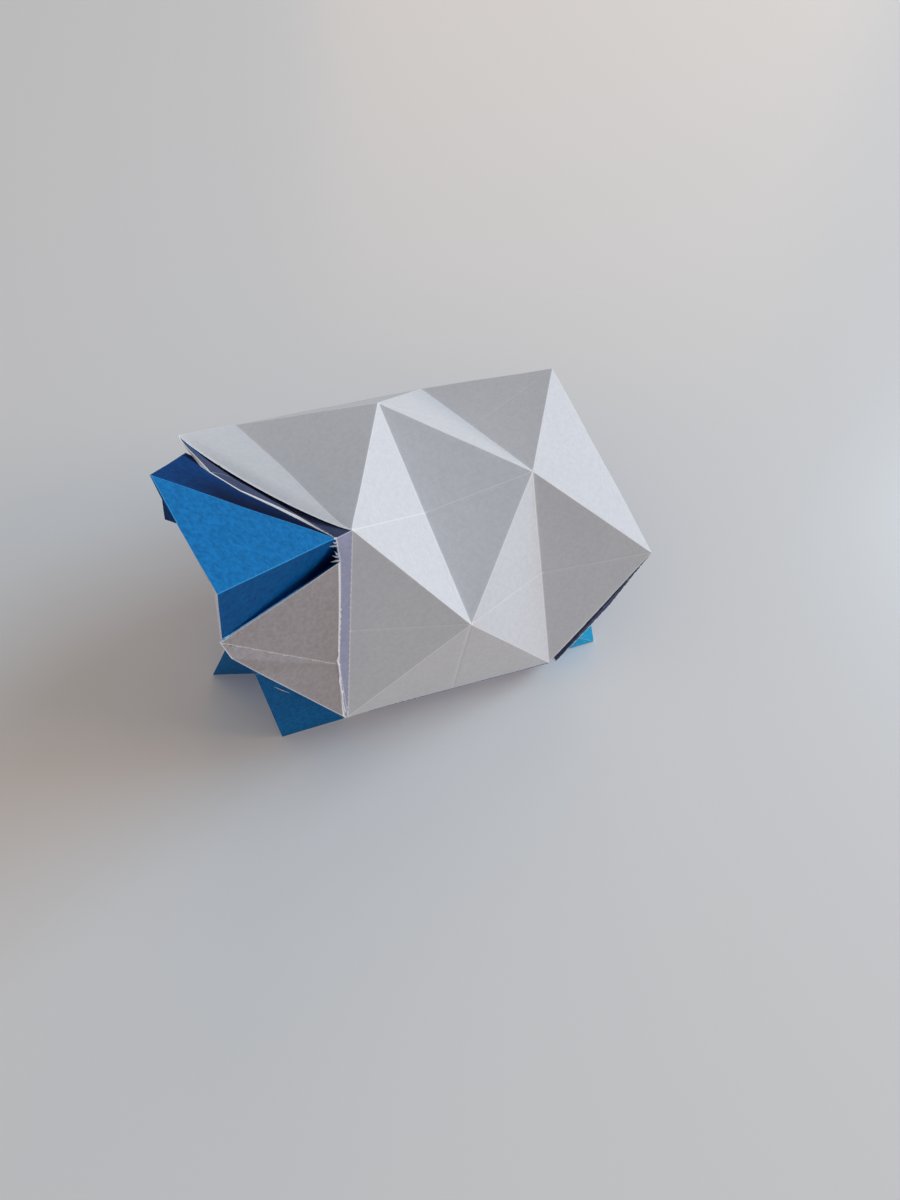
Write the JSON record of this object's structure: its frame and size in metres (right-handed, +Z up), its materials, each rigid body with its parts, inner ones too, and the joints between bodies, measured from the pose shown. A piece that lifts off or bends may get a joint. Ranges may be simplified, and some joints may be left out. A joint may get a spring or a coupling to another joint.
{
  "type": "origami sheep",
  "caption": "Small sheep folded from one square of two-coloured paper: white faceted fleece over blue face and feet, standing on its four feet.",
  "frame": {"origin": "on the table, under the middle of the sheep's outline seen from above", "axes": "+X to the sheep's left, +Y from head to tail, +Z up from the table"},
  "size_m": [0.0548, 0.0774, 0.0625],
  "materials": {
    "paper": "matt uncoated paper, white on one side and blue on the other"
  },
  "bodies": {
    "root": {"folded_sheet": "paper"}
  },
  "joints": []
}
